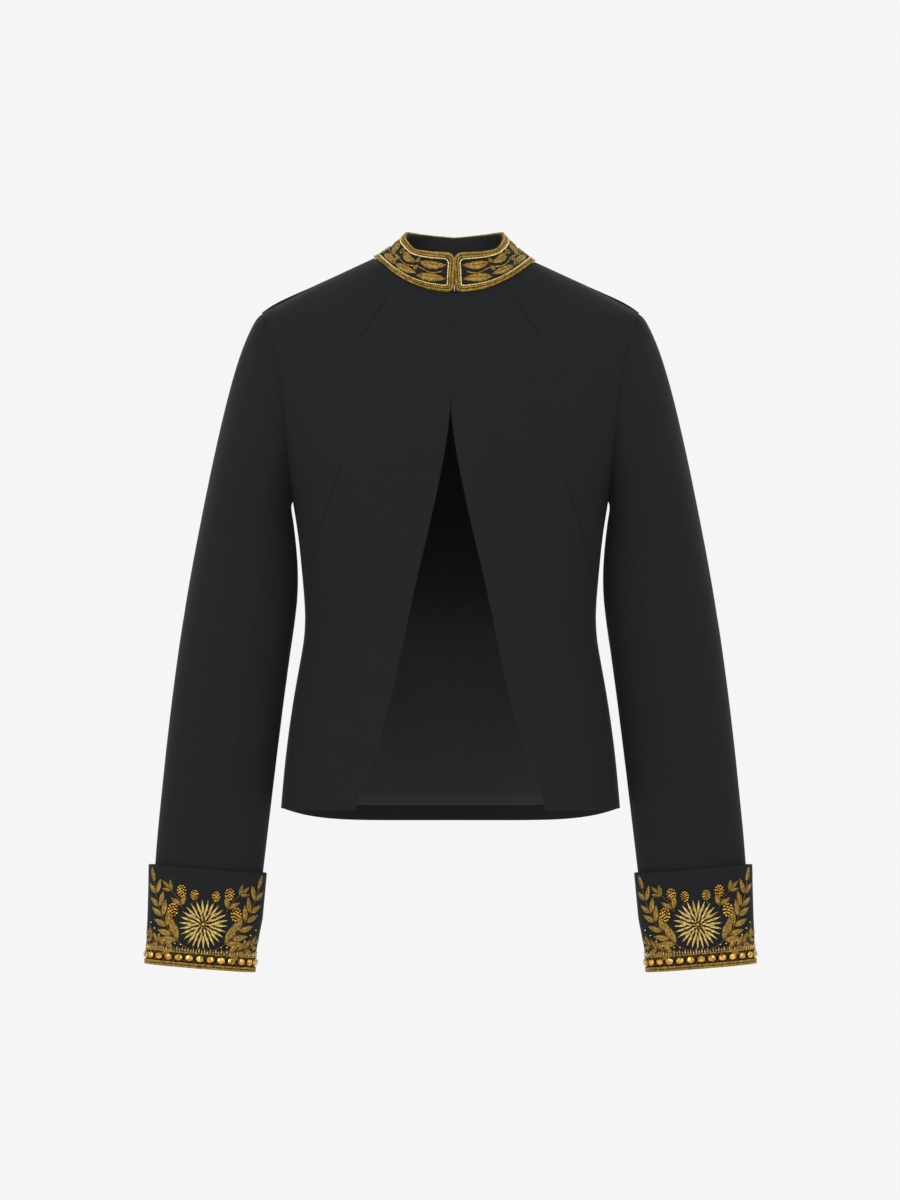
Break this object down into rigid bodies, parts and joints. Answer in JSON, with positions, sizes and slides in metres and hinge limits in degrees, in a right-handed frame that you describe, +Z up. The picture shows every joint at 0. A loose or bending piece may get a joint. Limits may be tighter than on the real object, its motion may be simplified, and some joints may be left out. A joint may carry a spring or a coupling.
{
  "type": "cutaway jacket",
  "caption": "Cropped, waisted jacket with a stand-up goldwork collar, fronts cut away into an open V, and deep turned-back goldwork cuffs, filled out and hollow.",
  "frame": {"origin": "inside the neck at the height of the inner ends of the shoulder seams, midway between the sleeves, where the wearer's shoulders carry the jacket", "axes": "+Z up, the front faces -Y, the wearer's left side is at +X"},
  "size_m": [0.61, 0.2307, 0.7383],
  "materials": {
    "cloth": "matt black wool crepe with a fine dull surface",
    "lining": "dark mauve-grey satin lining",
    "cuff_goldwork": "pale and antique gold thread, purl and amber beads on black cloth",
    "collar_goldwork": "antique gold thread leaves and bright twisted cord on black cloth",
    "hook_metal": "plain bright wire"
  },
  "bodies": {
    "root": {"front_right": "cloth", "back_centre_right": "cloth", "back_side_right": "cloth", "top_sleeve_right": "cloth", "under_sleeve_right": "cloth", "front_left": "cloth", "back_centre_left": "cloth", "back_side_left": "cloth", "top_sleeve_left": "cloth", "under_sleeve_left": "cloth", "lining_right": "lining", "lining_left": "lining", "cuff_right": "cuff_goldwork", "cuff_left": "cuff_goldwork", "collar": "collar_goldwork", "hook": "hook_metal", "eye": "hook_metal"}
  },
  "joints": []
}
